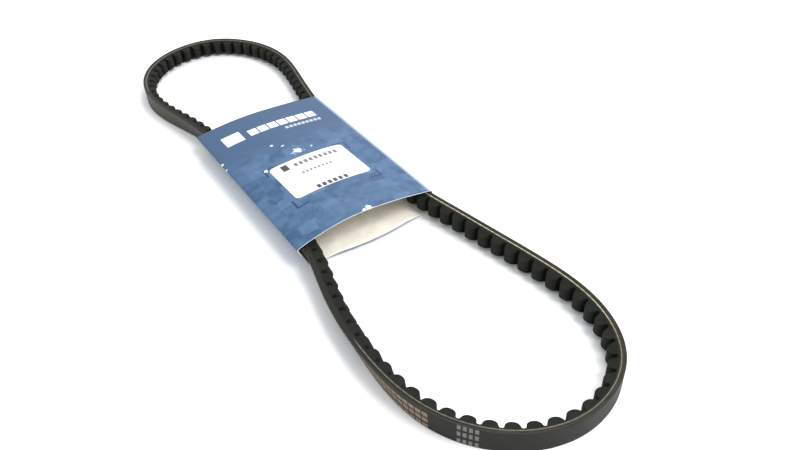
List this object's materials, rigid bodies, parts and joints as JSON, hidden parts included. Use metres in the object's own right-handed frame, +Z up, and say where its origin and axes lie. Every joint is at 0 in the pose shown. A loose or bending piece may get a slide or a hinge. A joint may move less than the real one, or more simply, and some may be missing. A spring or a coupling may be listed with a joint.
{
  "type": "v belt",
  "caption": "Endless cogged raw-edge rubber V-belt lying on its edge, squeezed at the waist by a folded printed card sleeve with a white label.",
  "frame": {"origin": "middle of the whole object's footprint, on the surface it lies on", "axes": "+Y along the loop's long direction, away from the larger open loop shown nearest; +Z up, out of the loop's plane; +X across the loop"},
  "size_m": [0.1176, 0.4585, 0.0206],
  "materials": {
    "back_cover": "rubbered woven cloth, slightly shiny, grey-brown",
    "overcord": "matt black rubber",
    "gum": "matt dark rubber",
    "undercord": "matt fibre-filled rubber, near black with a slight green tint",
    "cord": "twisted cord, cream",
    "card": "printed slate blue outside, uncoated cream inside",
    "glue": "dried paper glue",
    "label": "smooth white label paper"
  },
  "bodies": {
    "belt": {"belt_back_cover": "back_cover", "belt_overcord_rubber": "overcord", "belt_upper_gum": "gum", "belt_lower_gum": "gum", "belt_cogged_undercord": "undercord", "tension_cord_turn_01": "cord", "tension_cord_turn_02": "cord", "tension_cord_turn_03": "cord", "tension_cord_turn_04": "cord", "tension_cord_turn_05": "cord", "tension_cord_turn_06": "cord", "tension_cord_turn_07": "cord", "tension_cord_turn_08": "cord"},
    "sleeve": {"sleeve_card": "card", "sleeve_glue_strip": "glue", "sleeve_label": "label"}
  },
  "joints": [
    {"name": "sleeve_slide", "type": "slide", "parent": "belt", "child": "sleeve", "axis": [0, 1, 0], "range_m": [-0.004, 0.004]}
  ]
}
